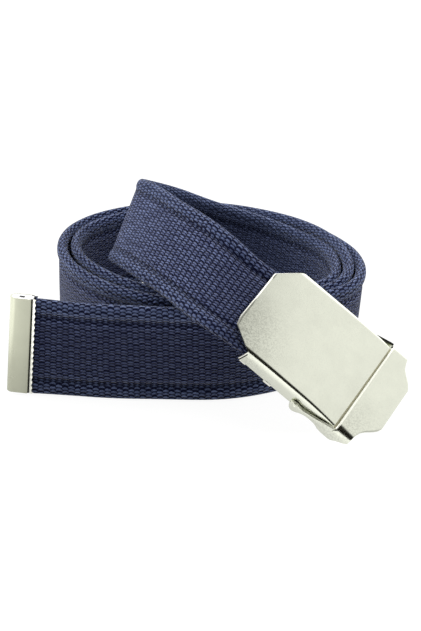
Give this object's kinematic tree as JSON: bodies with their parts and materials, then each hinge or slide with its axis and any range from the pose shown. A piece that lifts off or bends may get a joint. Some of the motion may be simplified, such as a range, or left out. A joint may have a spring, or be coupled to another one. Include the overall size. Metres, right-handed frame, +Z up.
{
  "type": "coiled web belt",
  "caption": "Canvas web belt coiled on its edge, with a flip-lever slide buckle folded over the front of the coil and a metal tip on the free end.",
  "frame": {"origin": "centre of the bounding box, on the ground the belt stands on", "axes": "+X to the right with the metal tip at the left, +Y away from the side that shows the buckle's face, +Z up"},
  "size_m": [0.1491, 0.1629, 0.0639],
  "materials": {
    "canvas": "matt woven cotton",
    "nickel": "satin nickel plate"
  },
  "bodies": {
    "belt": {"webbing": "canvas", "belt_tip": "nickel", "buckle_frame": "nickel", "clamp_jaw": "nickel"},
    "lever": {"lever": "nickel", "lever_cam": "nickel", "rivet_near": "nickel", "rivet_far": "nickel"}
  },
  "joints": [
    {"name": "lever_hinge", "type": "hinge", "parent": "belt", "child": "lever", "pos_m": [0.04348, -0.0566, 0.02299], "axis": [-0.5441, -0.7331, -0.4081], "range_deg": [0, 95]}
  ]
}
